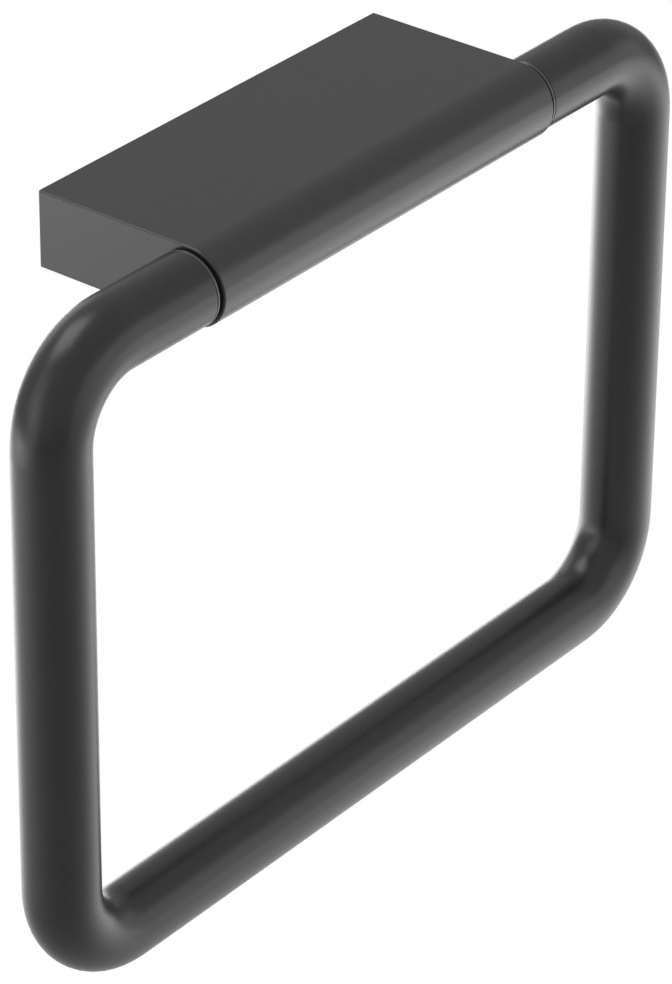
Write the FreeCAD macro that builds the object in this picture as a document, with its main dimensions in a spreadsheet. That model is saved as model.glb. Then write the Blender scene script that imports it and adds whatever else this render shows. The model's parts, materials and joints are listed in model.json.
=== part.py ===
import FreeCAD, Part
import math
import os
import Sketcher

# Towel ring: a bent tube that swings below a short holder on the wall.
# Millimetres. X runs along the wall, +Y points into the wall, +Z is up.
# The origin is the middle of the back face, on the wall, level with the ring's axis.

doc = FreeCAD.newDocument("towel_ring")

# Sizes

SIZES = [
    ("tube_diameter", 16.0, "outside of the bent tube"),
    ("tube_wall", 1.5, "wall of the bent tube"),
    ("ring_drop", 136.0, "ring axis down to the middle of the bottom bar"),
    ("bend_radius", 18.0, "each corner of the ring, to the tube's centre line"),
    ("stub_run", 22.1, "straight tube between a joint and the first bend"),
    ("tube_end_chamfer", 0.2, "outer edge of each tube end"),
    ("holder_length", 107.0, "holder along the wall"),
    ("holder_height", 17.0, "holder top to bottom, twice the nose radius"),
    ("axis_from_wall", 38.5, "wall to the ring's axis, which is the nose's centre"),
    ("holder_skin", 3.0, "top, bottom and nose wall of the hollow holder"),
    ("end_wall", 4.0, "each end wall of the holder, which carries a bush"),
    ("edge_round", 0.4, "rounding of the holder's end outlines"),
    ("running_clearance", 0.05, "radial play of the shoulder in its bush"),
    ("end_float", 0.1, "sideways play at each turning face"),
    ("bush_wall", 1.0, "wall of the bush sleeve"),
    ("bush_flange_inset", 1.3, "bush flange below the tube's surface, a dark groove at the joint"),
    ("bush_flange_thickness", 0.7, "bush flange between holder and collar"),
    ("bush_seat_clearance", 0.02, "radial play of the bush in the end wall"),
    ("collar_thickness", 0.6, "plug collar between bush flange and tube end"),
    ("collar_chamfer", 0.15, "both edges of the plug collar"),
    ("spigot_length", 13.0, "plug length inside the tube"),
    ("spigot_chamfer", 0.8, "lead-in at the plug's inner end"),
    ("spigot_clearance", 0.03, "radial play of the plug in the tube"),
    ("shoulder_ratio", 1.2, "shoulder over thread, as in stock shoulder screws"),
    ("pivot_thread_length", 9.0, "thread of the shoulder screw in its plug"),
    ("thread_clearance", 0.03, "radial play of a screw in its threaded hole"),
    ("head_room", 0.7, "shoulder screw head to the hollow, above and below"),
    ("head_ratio", 1.6, "head over shoulder, as in stock shoulder screws"),
    ("head_height", 4.0, "head of the shoulder screw"),
    ("head_chamfer", 0.4, "rim of the shoulder screw's head"),
    ("head_socket_width", 3.0, "hexagon socket across its flats"),
    ("head_socket_depth", 2.2, "hexagon socket"),
    ("washer_lip", 0.2, "washer beyond the screw head's rim"),
    ("washer_thickness", 0.5, "washer under the screw head"),
    ("washer_clearance", 0.1, "radial play of the shoulder in the washer"),
    ("plate_thickness", 8.0, "wall plate, wall to front"),
    ("plate_play", 0.2, "wall plate to the holder, above and below"),
    ("plate_end_room", 7.5, "wall plate to the holder's end wall, each side"),
    ("plate_chamfer", 0.5, "front edges of the wall plate"),
    ("wall_screw_hole", 5.2, "hole for each wall screw"),
    ("wall_screw_rim", 0.6, "wall plate left above and below each countersink"),
    ("wall_screw_inset", 12.0, "plate end to the middle of a wall screw hole"),
    ("grub_diameter", 4.0, "grub screw that clamps the holder to the plate"),
    ("grub_length", 4.0, "grub screw"),
    ("grub_recess", 0.3, "grub screw below the holder's underside"),
    ("grub_point", 1.0, "cone at the grub screw's tip"),
    ("grub_point_diameter", 2.0, "flat end of that cone"),
    ("grub_socket_width", 2.0, "hexagon socket across its flats"),
    ("grub_socket_depth", 1.8, "hexagon socket"),
    ("grub_from_wall", 4.4, "wall to the grub screw's axis"),
    ("grub_inset", 24.0, "plate end to the grub screw's axis"),
    ("grub_seat_room", 0.1, "play around and above the grub screw's tip"),
]

# Sizes that follow from others, as formulas on the same sheet

DERIVED = [
    ("nose_radius", "holder_height / 2"),
    ("hollow_height", "holder_height - 2 * holder_skin"),
    ("head_diameter", "hollow_height - 2 * head_room"),
    ("shoulder_diameter", "head_diameter / head_ratio"),
    ("pivot_thread_diameter", "shoulder_diameter / shoulder_ratio"),
    ("hollow_length", "holder_length - 2 * end_wall"),
    ("end_face", "holder_length / 2"),
    ("collar_face", "end_face + bush_flange_thickness + end_float"),
    ("tube_end", "collar_face + collar_thickness"),
    ("leg_offset", "tube_end + stub_run + bend_radius"),
    ("bush_bore", "shoulder_diameter + 2 * running_clearance"),
    ("bush_outside", "bush_bore + 2 * bush_wall"),
    ("bush_seat", "bush_outside + 2 * bush_seat_clearance"),
    ("bush_flange_diameter", "tube_diameter - 2 * bush_flange_inset"),
    ("tube_bore", "tube_diameter - 2 * tube_wall"),
    ("spigot_diameter", "tube_bore - 2 * spigot_clearance"),
    ("pivot_thread_hole", "pivot_thread_diameter + 2 * thread_clearance"),
    ("shoulder_length", "bush_flange_thickness + end_wall + washer_thickness + 2 * end_float"),
    ("washer_diameter", "head_diameter + 2 * washer_lip"),
    ("washer_bore", "shoulder_diameter + 2 * washer_clearance"),
    ("plate_height", "hollow_height - 2 * plate_play"),
    ("plate_length", "hollow_length - 2 * plate_end_room"),
    ("wall_screw_head", "plate_height - 2 * wall_screw_rim"),
    ("wall_screw_offset", "plate_length / 2 - wall_screw_inset"),
    ("grub_offset", "plate_length / 2 - grub_inset"),
    ("grub_hole", "grub_diameter + 2 * thread_clearance"),
    ("grub_tip_level", "grub_recess + grub_length - nose_radius"),
]

sheet = doc.addObject("Spreadsheet::Sheet", "Sizes")
for row, (alias, size, words) in enumerate(SIZES, start=1):
    sheet.set(f"A{row}", alias)
    sheet.set(f"B{row}", str(size))
    sheet.setAlias(f"B{row}", alias)
    sheet.set(f"C{row}", words)
for row, (alias, formula) in enumerate(DERIVED, start=len(SIZES) + 1):
    sheet.set(f"A{row}", alias)
    sheet.set(f"B{row}", "=" + formula)
    sheet.setAlias(f"B{row}", alias)
doc.recompute()

ALIASES = [entry[0] for entry in SIZES + DERIVED]


def link(formula):
    """Write a formula of sheet names so that any object can use it."""
    words = []
    for word in formula.split():
        bare = word.strip("()")
        words.append(word.replace(bare, "Sizes." + bare) if bare in ALIASES else word)
    return " ".join(words)


def bind(item, path, formula):
    """Tie one property of an object to the sheet."""
    item.setExpression(path, link(formula))


def size_of(item, formula):
    """The present value of a formula of sheet names."""
    return float(item.evalExpression(link(formula)))


# Sketch helpers: every corner's place comes from the sheet

ORIGIN_POINT = (-1, 1)
START = 1
END = 2
CENTRE = 3
QUARTER_TURN = math.pi / 2
SAME_PLACE = 1e-4


def add_body(name, label):
    body = doc.addObject("PartDesign::Body", name)
    body.Label = label
    return body


def add_sketch(body, name, role, offset=None):
    """A sketch on one of the body's own origin planes, moved along its normal if asked."""
    sketch = body.newObject("Sketcher::SketchObject", name)
    plane = [item for item in body.Origin.OriginFeatures if item.Role == role][0]
    sketch.AttachmentSupport = (plane, [""])
    sketch.MapMode = "FlatFace"
    if offset is not None:
        bind(sketch, "AttachmentOffset.Base.z", offset)
    doc.recompute()
    return sketch


def pin_point(sketch, geometry, point, across, upward):
    """Fix one point of the sketch at two distances from the origin."""
    for kind, formula in (("DistanceX", across), ("DistanceY", upward)):
        if formula is None:
            continue
        value = size_of(sketch, formula)
        distance = Sketcher.Constraint(kind, *ORIGIN_POINT, geometry, point, value)
        bind(sketch, f"Constraints[{sketch.addConstraint(distance)}]", formula)


def corner_point(sketch, corner):
    return FreeCAD.Vector(size_of(sketch, corner[0]), size_of(sketch, corner[1]), 0)


def add_outline(sketch, corners):
    """A closed outline of straight lines through the corners."""
    points = [corner_point(sketch, corner) for corner in corners]
    lines = []
    for index, point in enumerate(points):
        following = points[(index + 1) % len(points)]
        lines.append(sketch.addGeometry(Part.LineSegment(point, following), False))
    for index, line in enumerate(lines):
        after = lines[(index + 1) % len(lines)]
        sketch.addConstraint(Sketcher.Constraint("Coincident", line, END, after, START))
        pin_point(sketch, line, START, *corners[index])
    return lines


def add_line(sketch, first, last):
    points = corner_point(sketch, first), corner_point(sketch, last)
    line = sketch.addGeometry(Part.LineSegment(*points), False)
    pin_point(sketch, line, START, *first)
    pin_point(sketch, line, END, *last)
    return line


def add_arc(sketch, centre, radius, first_angle, last_angle, starts_on, ends_on):
    """An arc between the ends of two lines, each given as line and point."""
    middle = corner_point(sketch, centre)
    circle = Part.Circle(middle, FreeCAD.Vector(0, 0, 1), size_of(sketch, radius))
    arc = sketch.addGeometry(Part.ArcOfCircle(circle, first_angle, last_angle), False)
    sketch.addConstraint(Sketcher.Constraint("Coincident", arc, START, *starts_on))
    sketch.addConstraint(Sketcher.Constraint("Coincident", arc, END, *ends_on))
    return arc


def add_circle(sketch, diameter, across="0", upward="0"):
    middle = corner_point(sketch, (across, upward))
    radius = size_of(sketch, diameter) / 2
    circle = sketch.addGeometry(Part.Circle(middle, FreeCAD.Vector(0, 0, 1), radius), False)
    pin_point(sketch, circle, CENTRE, across, upward)
    across_circle = Sketcher.Constraint("Diameter", circle, 2 * radius)
    bind(sketch, f"Constraints[{sketch.addConstraint(across_circle)}]", diameter)
    return circle


HEXAGON_SIDES = 6


def add_hexagon(sketch, across_flats):
    """A hexagon round the origin, its flats level."""
    corners = []
    for corner in range(HEXAGON_SIDES):
        angle = 360 / HEXAGON_SIDES * corner
        reach = f"{across_flats} / 2 / cos(30deg)"
        corners.append((f"{reach} * cos({angle}deg)", f"{reach} * sin({angle}deg)"))
    return add_outline(sketch, corners)


def add_feature(body, kind, name, profile, **settings):
    feature = body.newObject("PartDesign::" + kind, name)
    feature.Profile = profile
    for key, value in settings.items():
        setattr(feature, key, value)
    profile.Visibility = False
    return feature


def turn(body, name, corners):
    """A turned piece: the outline spun round the body's X axis."""
    sketch = add_sketch(body, name + "Outline", "XY_Plane")
    add_outline(sketch, corners)
    spin = add_feature(body, "Revolution", name, sketch)
    spin.ReferenceAxis = (sketch, ["H_Axis"])
    spin.Angle = 360
    doc.recompute()
    return spin


def circle_edges(shape, radius, level):
    """Names of the round edges of one radius in the plane at one X."""
    names = []
    for index, edge in enumerate(shape.Edges, start=1):
        if not isinstance(edge.Curve, Part.Circle) or abs(edge.Curve.Radius - radius) > SAME_PLACE:
            continue
        if all(abs(vertex.X - level) < SAME_PLACE for vertex in edge.Vertexes):
            names.append(f"Edge{index}")
    return names


SIDES = (("left", -1), ("right", 1))
HALF_TURN = FreeCAD.Rotation(FreeCAD.Vector(0, 0, 1), 180)


def place_at_joint(body, side, offset):
    """Set a piece on the ring's axis, its own +X pointing away from the holder."""
    if side < 0:
        body.Placement.Rotation = HALF_TURN
    bind(body, "Placement.Base.x", f"{side} * ( {offset} )")
    bind(body, "Placement.Base.y", "-1 * axis_from_wall")


# Holder: a hollow block with a half-round nose, open towards the wall


def nose_outline(sketch, half_height, back):
    """A flat-topped outline from the back to a half-round nose on the ring's axis."""
    low = "-1 * ( " + half_height + " )"
    front = "-1 * axis_from_wall"
    top = add_line(sketch, (back, half_height), (front, half_height))
    bottom = add_line(sketch, (front, low), (back, low))
    rear_ends = corner_point(sketch, (back, low)), corner_point(sketch, (back, half_height))
    rear = sketch.addGeometry(Part.LineSegment(*rear_ends), False)
    sketch.addConstraint(Sketcher.Constraint("Coincident", rear, START, bottom, END))
    sketch.addConstraint(Sketcher.Constraint("Coincident", rear, END, top, START))
    first = QUARTER_TURN
    last = 3 * QUARTER_TURN
    nose = add_arc(sketch, (front, "0"), half_height, first, last, (top, END), (bottom, START))
    pin_point(sketch, nose, CENTRE, front, None)


HOLLOW_OVERRUN = 5

holder = add_body("Holder", "holder")
section = add_sketch(holder, "HolderSection", "YZ_Plane")
nose_outline(section, "nose_radius", "0")
block = add_feature(holder, "Pad", "HolderBlock", section, SideType="Symmetric")
bind(block, "Length", "holder_length")
doc.recompute()

end_outlines = []
for index, edge in enumerate(block.Shape.Edges, start=1):
    reach = size_of(sheet, "end_face")
    at_end = all(abs(abs(vertex.X) - reach) < SAME_PLACE for vertex in edge.Vertexes)
    at_back = all(abs(vertex.Y) < SAME_PLACE for vertex in edge.Vertexes)
    if at_end and not at_back:
        end_outlines.append(f"Edge{index}")
rounding = holder.newObject("PartDesign::Fillet", "HolderRounding")
rounding.Base = (block, end_outlines)
bind(rounding, "Radius", "edge_round")
doc.recompute()

inside = add_sketch(holder, "HollowSection", "YZ_Plane")
nose_outline(inside, "hollow_height / 2", str(HOLLOW_OVERRUN))
hollow = add_feature(holder, "Pocket", "HolderHollow", inside, SideType="Symmetric")
bind(hollow, "Length", "hollow_length")
doc.recompute()

seat = add_sketch(holder, "BushSeats", "YZ_Plane")
add_circle(seat, "bush_seat", "-1 * axis_from_wall", "0")
bush_seats = add_feature(holder, "Pocket", "HolderBushSeats", seat, SideType="Symmetric")
bind(bush_seats, "Length", "holder_length + 2 * end_wall")
doc.recompute()

grub_places = add_sketch(holder, "GrubPlaces", "XY_Plane")
for name, side in SIDES:
    add_circle(grub_places, "grub_hole", f"{side} * grub_offset", "-1 * grub_from_wall")
grub_holes = add_feature(holder, "Pocket", "HolderGrubHoles", grub_places)
bind(grub_holes, "Length", "holder_height")
doc.recompute()

# Ring: one tube, bent at four equal corners, its ends facing each other on the axis


def ring_path(sketch):
    """The tube's centre line, from the left joint round to the right joint."""
    bend = "bend_radius"
    leg = "leg_offset"
    bend_start = f"{leg} - {bend}"
    low = f"-1 * ( ring_drop - {bend} )"
    floor = "-1 * ring_drop"

    def left(formula):
        return "-1 * ( " + formula + " )"

    stub_left = add_line(sketch, (left("tube_end"), "0"), (left(bend_start), "0"))
    leg_left = add_line(sketch, (left(leg), left(bend)), (left(leg), low))
    bottom = add_line(sketch, (left(bend_start), floor), (bend_start, floor))
    leg_right = add_line(sketch, (leg, low), (leg, left(bend)))
    stub_right = add_line(sketch, (bend_start, "0"), ("tube_end", "0"))
    corners = (
        ((left(bend_start), left(bend)), 1, (stub_left, END), (leg_left, START)),
        ((left(bend_start), low), 2, (leg_left, END), (bottom, START)),
        ((bend_start, low), 3, (bottom, END), (leg_right, START)),
        ((bend_start, left(bend)), 4, (leg_right, END), (stub_right, START)),
    )
    for centre, quarter, before, after in corners:
        first = quarter * QUARTER_TURN
        arc = add_arc(sketch, centre, bend, first, first + QUARTER_TURN, before, after)
        bend_size = Sketcher.Constraint("Radius", arc, size_of(sketch, bend))
        bind(sketch, f"Constraints[{sketch.addConstraint(bend_size)}]", bend)


ring = add_body("Ring", "ring")
path = add_sketch(ring, "RingPath", "XZ_Plane")
ring_path(path)
outside = add_sketch(ring, "TubeOutside", "YZ_Plane", "-1 * tube_end")
add_circle(outside, "tube_diameter")
bore = add_sketch(ring, "TubeBore", "YZ_Plane", "-1 * tube_end")
add_circle(bore, "tube_bore")
doc.recompute()
tube = add_feature(ring, "AdditivePipe", "RingTube", outside)
tube.Spine = (path, [])
doc.recompute()
tube_bore = add_feature(ring, "SubtractivePipe", "RingBore", bore)
tube_bore.Spine = (path, [])
doc.recompute()
rims = []
for name, side in SIDES:
    rim_radius = size_of(sheet, "tube_diameter / 2")
    rims += circle_edges(tube_bore.Shape, rim_radius, side * size_of(sheet, "tube_end"))
rim_chamfer = ring.newObject("PartDesign::Chamfer", "RingRims")
rim_chamfer.Base = (tube_bore, rims)
bind(rim_chamfer, "Size", "tube_end_chamfer")
bind(ring, "Placement.Base.y", "-1 * axis_from_wall")
doc.recompute()


# Plugs: a turned plug closes each tube end, and its collar shows as a thin line


def make_plug(name, side):
    body = add_body("Plug" + name.title(), "ring_plug_" + name)
    rim = "tube_diameter / 2"
    spigot = "spigot_diameter / 2"
    hole = "pivot_thread_hole / 2"
    inner_end = "collar_thickness + spigot_length"
    turn(body, "PlugTurned" + name.title(), [
        ("0", hole),
        ("0", rim + " - collar_chamfer"),
        ("collar_chamfer", rim),
        ("collar_thickness - collar_chamfer", rim),
        ("collar_thickness", rim + " - collar_chamfer"),
        ("collar_thickness", spigot),
        (inner_end + " - spigot_chamfer", spigot),
        (inner_end, spigot + " - spigot_chamfer"),
        (inner_end, hole),
    ])
    place_at_joint(body, side, "collar_face")
    return body


# Bushes: a plastic sleeve in each end wall, its flange between holder and collar


def make_bush(name, side):
    body = add_body("Bush" + name.title(), "bush_" + name)
    turn(body, "BushTurned" + name.title(), [
        ("-1 * end_wall", "bush_bore / 2"),
        ("-1 * end_wall", "bush_outside / 2"),
        ("0", "bush_outside / 2"),
        ("0", "bush_flange_diameter / 2"),
        ("bush_flange_thickness", "bush_flange_diameter / 2"),
        ("bush_flange_thickness", "bush_bore / 2"),
    ])
    place_at_joint(body, side, "end_face")
    return body


# Washers: they keep the turning screw heads off the holder's end walls


def make_washer(name, side):
    body = add_body("Washer" + name.title(), "pivot_washer_" + name)
    turn(body, "WasherTurned" + name.title(), [
        ("-1 * washer_thickness", "washer_bore / 2"),
        ("-1 * washer_thickness", "washer_diameter / 2"),
        ("0", "washer_diameter / 2"),
        ("0", "washer_bore / 2"),
    ])
    place_at_joint(body, side, "end_face - end_wall")
    return body


# Shoulder screws: put in from inside the hollow, they are the ring's two pivots


def make_shoulder_screw(name, side):
    title = name.title()
    body = add_body("ShoulderScrew" + title, "shoulder_screw_" + name)
    shoulder = "shoulder_diameter / 2"
    head = "head_diameter / 2"
    thread = "pivot_thread_diameter / 2"
    head_end = "-1 * ( shoulder_length + head_height )"
    turn(body, "ScrewTurned" + title, [
        (head_end, "0"),
        (head_end, head + " - head_chamfer"),
        (head_end + " + head_chamfer", head),
        ("-1 * shoulder_length", head),
        ("-1 * shoulder_length", shoulder),
        ("0", shoulder),
        ("0", thread),
        ("pivot_thread_length", thread),
        ("pivot_thread_length", "0"),
    ])
    socket = add_sketch(body, "ScrewSocket" + title, "YZ_Plane", head_end)
    add_hexagon(socket, "head_socket_width")
    recess = add_feature(body, "Pocket", "ScrewRecess" + title, socket, Reversed=True)
    bind(recess, "Length", "head_socket_depth")
    place_at_joint(body, side, "collar_face")
    doc.recompute()
    return body


for name, side in SIDES:
    make_plug(name, side)
    make_bush(name, side)
    make_washer(name, side)
    make_shoulder_screw(name, side)


# Wall plate: a steel bar on the wall, inside the holder's open back

CUT_OVERRUN = 1


def upright_along_y(item, across, back, upward="0"):
    """Lay a primitive so that its own axis points away from the wall."""
    item.Placement.Rotation = FreeCAD.Rotation(FreeCAD.Vector(1, 0, 0), 90)
    bind(item, "Placement.Base.x", across)
    bind(item, "Placement.Base.y", back)
    bind(item, "Placement.Base.z", upward)


bar = doc.addObject("Part::Box", "PlateBar")
bind(bar, "Length", "plate_length")
bind(bar, "Width", "plate_thickness")
bind(bar, "Height", "plate_height")
bind(bar, "Placement.Base.x", "-1 * plate_length / 2")
bind(bar, "Placement.Base.y", "-1 * plate_thickness")
bind(bar, "Placement.Base.z", "-1 * plate_height / 2")
doc.recompute()

front_edges = []
for index, edge in enumerate(bar.Shape.Edges, start=1):
    if all(abs(vertex.Y + size_of(sheet, "plate_thickness")) < SAME_PLACE for vertex in edge.Vertexes):
        front_edges.append(index)
eased_bar = doc.addObject("Part::Chamfer", "PlateEased")
eased_bar.Base = bar
ease = size_of(sheet, "plate_chamfer")
eased_bar.Edges = [(index, ease, ease) for index in front_edges]

cuts = []
for name, side in SIDES:
    hole = doc.addObject("Part::Cylinder", "PlateHole" + name.title())
    bind(hole, "Radius", "wall_screw_hole / 2")
    bind(hole, "Height", f"plate_thickness + {2 * CUT_OVERRUN}")
    upright_along_y(hole, f"{side} * wall_screw_offset", str(CUT_OVERRUN))
    sink = doc.addObject("Part::Cone", "PlateSink" + name.title())
    bind(sink, "Radius1", "wall_screw_hole / 2")
    bind(sink, "Radius2", f"wall_screw_head / 2 + {CUT_OVERRUN}")
    sink_depth = "( wall_screw_head - wall_screw_hole ) / 2"
    bind(sink, "Height", f"{sink_depth} + {CUT_OVERRUN}")
    upright_along_y(sink, f"{side} * wall_screw_offset", f"{sink_depth} - plate_thickness")
    dimple = doc.addObject("Part::Cylinder", "PlateDimple" + name.title())
    bind(dimple, "Radius", "grub_diameter / 2 + grub_seat_room")
    bind(dimple, "Height", f"grub_tip_level + grub_seat_room + plate_height / 2 + {CUT_OVERRUN}")
    bind(dimple, "Placement.Base.x", f"{side} * grub_offset")
    bind(dimple, "Placement.Base.y", "-1 * grub_from_wall")
    bind(dimple, "Placement.Base.z", f"-1 * plate_height / 2 - {CUT_OVERRUN}")
    cuts += [hole, sink, dimple]
plate_cuts = doc.addObject("Part::MultiFuse", "PlateCuts")
plate_cuts.Shapes = cuts
wall_plate = doc.addObject("Part::Cut", "WallPlate")
wall_plate.Label = "wall_plate"
wall_plate.Base = eased_bar
wall_plate.Tool = plate_cuts
doc.recompute()


# Grub screws: in the holder's underside, their tips in the wall plate's dimples


def make_grub_screw(name, side):
    title = name.title()
    body = add_body("GrubScrew" + title, "grub_screw_" + name)
    turn(body, "GrubTurned" + title, [
        ("0", "0"),
        ("0", "grub_diameter / 2"),
        ("grub_length - grub_point", "grub_diameter / 2"),
        ("grub_length", "grub_point_diameter / 2"),
        ("grub_length", "0"),
    ])
    socket = add_sketch(body, "GrubSocket" + title, "YZ_Plane")
    add_hexagon(socket, "grub_socket_width")
    recess = add_feature(body, "Pocket", "GrubRecess" + title, socket, Reversed=True)
    bind(recess, "Length", "grub_socket_depth")
    body.Placement.Rotation = FreeCAD.Rotation(FreeCAD.Vector(0, 1, 0), -90)
    bind(body, "Placement.Base.x", f"{side} * grub_offset")
    bind(body, "Placement.Base.y", "-1 * grub_from_wall")
    bind(body, "Placement.Base.z", "grub_recess - nose_radius")
    doc.recompute()
    return body


for name, side in SIDES:
    make_grub_screw(name, side)

# Check every object, then write one file for each piece

doc.recompute()
for item in doc.Objects:
    if "Invalid" in item.State or "Error" in item.State:
        raise RuntimeError(f"{item.Name} did not build: {item.State}")

pieces = [item for item in doc.Objects if item.TypeId == "PartDesign::Body"] + [wall_plate]
for piece in pieces:
    if piece.Shape.isNull() or not piece.Shape.isValid() or len(piece.Shape.Solids) != 1:
        raise RuntimeError(f"{piece.Label} is not one valid solid")

os.makedirs("parts", exist_ok=True)
for piece in pieces:
    piece.Shape.exportStep(f"parts/{piece.Label}.step")
    print(f"{piece.Label}: {piece.Shape.Volume:.1f} cubic mm, {piece.Shape.BoundBox}")
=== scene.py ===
import json
import math

import bpy
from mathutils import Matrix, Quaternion, Vector

# Towel ring in satin black, seen from its front left, on plain white.
# Metres, in the part's own frame: X along the wall, +Y into the wall, +Z up.

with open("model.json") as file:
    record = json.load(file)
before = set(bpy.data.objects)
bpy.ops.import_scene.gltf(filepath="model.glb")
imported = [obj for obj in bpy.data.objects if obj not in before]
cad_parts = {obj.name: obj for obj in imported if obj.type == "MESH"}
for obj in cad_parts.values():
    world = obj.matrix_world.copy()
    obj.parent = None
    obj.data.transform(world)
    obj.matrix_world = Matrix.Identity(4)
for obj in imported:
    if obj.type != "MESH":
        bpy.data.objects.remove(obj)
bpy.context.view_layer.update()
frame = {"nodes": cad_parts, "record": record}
scene = bpy.context.scene
nodes = frame["nodes"]

# Camera, at the photograph's angle and without lens shift

# Sensor in millimetres, focal length and height in the photograph's pixels
LONG_SIDE_SENSOR = 36.0
FOCAL_PIXELS = 4787.2
PHOTO_HEIGHT = 984
CAMERA_AZIMUTH = math.radians(-52.09)
CAMERA_ELEVATION = math.radians(30.3687)
CAMERA_ROLL = math.radians(0.5192)
CAMERA_DISTANCE = 0.9971
CAMERA_AIM = Vector((0.0013, -0.03159, -0.07316))


def add_camera():
    back = Vector((
        math.sin(CAMERA_AZIMUTH) * math.cos(CAMERA_ELEVATION),
        -math.cos(CAMERA_AZIMUTH) * math.cos(CAMERA_ELEVATION),
        math.sin(CAMERA_ELEVATION),
    ))
    lens = bpy.data.cameras.new("camera")
    lens.sensor_width = LONG_SIDE_SENSOR
    lens.lens = FOCAL_PIXELS * LONG_SIDE_SENSOR / PHOTO_HEIGHT
    camera = bpy.data.objects.new("camera", lens)
    camera.location = CAMERA_AIM + back * CAMERA_DISTANCE
    camera.rotation_mode = "QUATERNION"
    level = (-back).to_track_quat("-Z", "Y")
    camera.rotation_quaternion = level @ Quaternion((0, 0, 1), CAMERA_ROLL)
    scene.collection.objects.link(camera)
    scene.camera = camera


# Materials

WHITE = (1, 1, 1, 1)
# Ends between which nearly all of a fractal noise lies
NOISE_LOW = 0.3
NOISE_HIGH = 0.7
# Noise scales per metre: coat's pebble and flow, nylon's moulded grain, steel's tool lines
PEBBLE_SCALE = 2400
FLOW_SCALE = 260
GRAIN_SCALE = 3200
LINE_SCALE = 900


def new_material(name):
    material = bpy.data.materials.new(name)
    material.use_nodes = True
    return material, material.node_tree, material.node_tree.nodes["Principled BSDF"]


def add_noise(tree, scale, detail, stretch=(1, 1, 1)):
    """Fractal noise in the piece's own coordinates, so it moves with the piece."""
    place = tree.nodes.new("ShaderNodeTexCoord")
    mapping = tree.nodes.new("ShaderNodeMapping")
    mapping.inputs["Scale"].default_value = stretch
    noise = tree.nodes.new("ShaderNodeTexNoise")
    noise.inputs["Scale"].default_value = scale
    noise.inputs["Detail"].default_value = detail
    tree.links.new(place.outputs["Object"], mapping.inputs["Vector"])
    tree.links.new(mapping.outputs["Vector"], noise.inputs["Vector"])
    return noise.outputs["Fac"]


def set_tone(tree, shader, noise, dark, light):
    """Base colour between two neutral greys."""
    ramp = tree.nodes.new("ShaderNodeValToRGB")
    ends = zip(ramp.color_ramp.elements, (NOISE_LOW, NOISE_HIGH), (dark, light))
    for element, position, grey in ends:
        element.position = position
        element.color = (grey, grey, grey, 1)
    tree.links.new(noise, ramp.inputs["Fac"])
    tree.links.new(ramp.outputs["Color"], shader.inputs["Base Color"])


def set_roughness(tree, shader, noise, low, high):
    spread = tree.nodes.new("ShaderNodeMapRange")
    spread.inputs["From Min"].default_value = NOISE_LOW
    spread.inputs["From Max"].default_value = NOISE_HIGH
    spread.inputs["To Min"].default_value = low
    spread.inputs["To Max"].default_value = high
    tree.links.new(noise, spread.inputs["Value"])
    tree.links.new(spread.outputs["Result"], shader.inputs["Roughness"])


def set_relief(tree, shader, noise, strength, depth):
    bump = tree.nodes.new("ShaderNodeBump")
    bump.inputs["Strength"].default_value = strength
    bump.inputs["Distance"].default_value = depth
    tree.links.new(noise, bump.inputs["Height"])
    tree.links.new(bump.outputs["Normal"], shader.inputs["Normal"])


def coating(name, tones, roughness, gloss):
    """Satin powder coat: a fine pebble in surface and gloss, and a faintly uneven tone."""
    material, tree, shader = new_material(name)
    pebble = add_noise(tree, PEBBLE_SCALE, detail=3)
    flow = add_noise(tree, FLOW_SCALE, detail=2)
    set_tone(tree, shader, flow, *tones)
    set_roughness(tree, shader, pebble, *roughness)
    set_relief(tree, shader, pebble, strength=0.03, depth=0.00005)
    shader.inputs["Specular IOR Level"].default_value = gloss
    return material


def nylon(name, tones, roughness):
    """Matt black nylon: dull, with a faint moulded grain."""
    material, tree, shader = new_material(name)
    grain = add_noise(tree, GRAIN_SCALE, detail=2)
    set_tone(tree, shader, grain, *tones)
    set_roughness(tree, shader, grain, *roughness)
    set_relief(tree, shader, grain, strength=0.05, depth=0.00004)
    return material


def steel(name, stretch, tones, roughness):
    """Stainless steel with fine lines left by turning or brushing."""
    material, tree, shader = new_material(name)
    lines = add_noise(tree, LINE_SCALE, detail=4, stretch=stretch)
    set_tone(tree, shader, lines, *tones)
    set_roughness(tree, shader, lines, *roughness)
    set_relief(tree, shader, lines, strength=0.08, depth=0.00003)
    shader.inputs["Metallic"].default_value = 1
    return material


def make_materials():
    """A material for each slot of the record."""
    satin = (0.27, 0.33)
    # Noise scale along X, Y, Z: tool lines run round X on the screws and along X on the plate
    turned = (6, 1, 1)
    brushed = (0.05, 1, 1)
    return {
        "holder_coating": coating("holder_coat", tones=(0.024, 0.027), roughness=satin, gloss=0.69),
        "ring_coating": coating("ring_coat", tones=(0.020, 0.023), roughness=satin, gloss=0.56),
        "black_nylon": nylon("black_nylon", tones=(0.006, 0.010), roughness=(0.5, 0.62)),
        "screw_steel": steel("screw_steel", turned, tones=(0.50, 0.60), roughness=(0.22, 0.36)),
        "plate_steel": steel("plate_steel", brushed, tones=(0.24, 0.36), roughness=(0.32, 0.46)),
    }


def dress_pieces():
    """Each piece in its slot's material, but the plugs, whose collars show, in a brighter, glossier
    copy of the coat that paints a highlight along the collars.
    """
    materials = make_materials()
    # A brighter and glossier copy of the black coat: a painted highlight on the collars' edges
    painted_highlight_coating = coating("collar_painted_highlight", tones=(0.055, 0.065), roughness=(0.19, 0.25), gloss=1)
    plugs = ("ring_plug_left", "ring_plug_right")
    for part in frame["record"]["subparts"]:
        name = part["node"]
        material = painted_highlight_coating if name in plugs else materials[part["material_slot"]]
        nodes[name].data.materials.clear()
        nodes[name].data.materials.append(material)


# Table, with soft pools of light that show in the part's gloss

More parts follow.
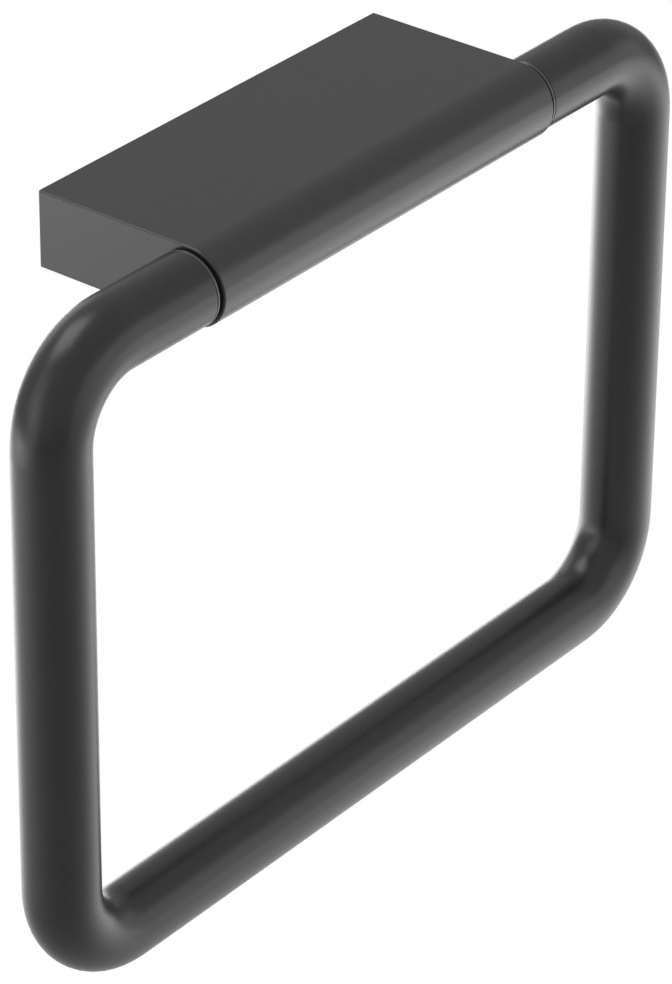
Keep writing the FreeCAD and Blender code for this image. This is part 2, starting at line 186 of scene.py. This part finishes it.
TABLE_LEVEL = -0.45
TABLE_SIZE = 20
TABLE_GREY = (0.5, 0.5, 0.5, 1)
TABLE_ROUGHNESS = 0.9
PART_MIDDLE = Vector((0, -0.03, -0.07))
# Heading in degrees, distance, spread, strength
POOLS = (
    (45, 1.7, 0.5, 3.1),
    (-45, 1.7, 0.5, 3.75),
    (15, 0.9, 0.3, 3.45),
    (135, 1.7, 0.5, 1.65),
    (105, 0.9, 0.3, 1.35),
    (120, 0.45, 0.25, 0.75),
)


def heading(azimuth, elevation):
    """Direction from the part: azimuth 0 is the wall side, 90 is +X."""
    azimuth, elevation = math.radians(azimuth), math.radians(elevation)
    return Vector((
        math.sin(azimuth) * math.cos(elevation),
        math.cos(azimuth) * math.cos(elevation),
        math.sin(elevation),
    ))


def add_math(tree, operation, *values):
    """A step of arithmetic, whose values are numbers or the outputs of other nodes."""
    step = tree.nodes.new("ShaderNodeMath")
    step.operation = operation
    for socket, value in zip(step.inputs, values):
        if isinstance(value, (int, float)):
            socket.default_value = value
        else:
            tree.links.new(value, socket)
    return step.outputs["Value"]


def add_pools(tree):
    """Brightness of round pools that fade outwards, by distance on the table."""
    place = tree.nodes.new("ShaderNodeNewGeometry")
    glow = 0
    for azimuth, distance, spread, strength in POOLS:
        middle = PART_MIDDLE + heading(azimuth, 0) * distance
        middle.z = TABLE_LEVEL
        measure = tree.nodes.new("ShaderNodeVectorMath")
        measure.operation = "DISTANCE"
        measure.inputs[1].default_value = middle
        tree.links.new(place.outputs["Position"], measure.inputs[0])
        reach = measure.outputs["Value"]
        squared = add_math(tree, "MULTIPLY", reach, reach)
        decline = add_math(tree, "MULTIPLY", squared, -0.5 / spread ** 2)
        fade = add_math(tree, "EXPONENT", decline)
        glow = add_math(tree, "MULTIPLY_ADD", fade, strength, glow)
    return glow


def show_white(tree, lit, white_type):
    """Plain white for the camera, while the part is lit by and mirrors what is there."""
    ray = tree.nodes.new("ShaderNodeLightPath")
    white = tree.nodes.new(white_type)
    white.inputs["Color"].default_value = WHITE
    choice = tree.nodes.new("ShaderNodeMixShader")
    output = tree.get_output_node("ALL")
    tree.links.new(ray.outputs["Is Camera Ray"], choice.inputs["Fac"])
    tree.links.new(lit, choice.inputs[1])
    tree.links.new(white.outputs[0], choice.inputs[2])
    tree.links.new(choice.outputs["Shader"], output.inputs["Surface"])


def add_table():
    bpy.ops.mesh.primitive_plane_add(size=TABLE_SIZE, location=(0, 0, TABLE_LEVEL))
    table = bpy.context.object
    table.name = "table"
    material, tree, shader = new_material("table_white")
    shader.inputs["Base Color"].default_value = TABLE_GREY
    shader.inputs["Roughness"].default_value = TABLE_ROUGHNESS
    shader.inputs["Emission Color"].default_value = WHITE
    tree.links.new(add_pools(tree), shader.inputs["Emission Strength"])
    show_white(tree, shader.outputs["BSDF"], "ShaderNodeEmission")
    table.data.materials.append(material)


# Light: soft boxes round the part and an even room

ROOM_LIGHT = 0.48
BOX_DISTANCE = 1.5
# Heading and elevation in degrees, width, height, brightness
SOFT_BOXES = (
    (-75, 6, 0.8, 0.95, 0.7),
    (-60, 26, 0.9, 0.9, 0.7),
    (20, 6, 0.8, 0.95, 0.7),
    (122, 6, 0.8, 0.95, 0.55),
    (150, 6, 0.8, 0.95, 0.7),
    (175, 6, 0.8, 0.95, 0.7),
    (-17, 62, 0.9, 0.9, 2.5),
)


def add_soft_box(azimuth, elevation, width, height, brightness):
    """A soft panel that faces the part. Brightness is that of its face, whatever its size."""
    lamp = bpy.data.lights.new("soft_box", "AREA")
    lamp.shape = "RECTANGLE"
    lamp.size = width
    lamp.size_y = height
    # An even face sends out pi times its brightness from each unit of area
    lamp.energy = brightness * math.pi * width * height
    box = bpy.data.objects.new("soft_box", lamp)
    towards = heading(azimuth, elevation)
    box.location = PART_MIDDLE + towards * BOX_DISTANCE
    box.rotation_euler = towards.to_track_quat("Z", "Y").to_euler()
    box.visible_camera = False
    scene.collection.objects.link(box)


def add_room():
    world = bpy.data.worlds.new("studio")
    world.use_nodes = True
    room = world.node_tree.nodes["Background"]
    room.inputs["Color"].default_value = WHITE
    room.inputs["Strength"].default_value = ROOM_LIGHT
    show_white(world.node_tree, room.outputs["Background"], "ShaderNodeBackground")
    scene.world = world


# The scene

scene.view_settings.view_transform = "Standard"
add_camera()
dress_pieces()
add_table()
for soft_box in SOFT_BOXES:
    add_soft_box(*soft_box)
add_room()
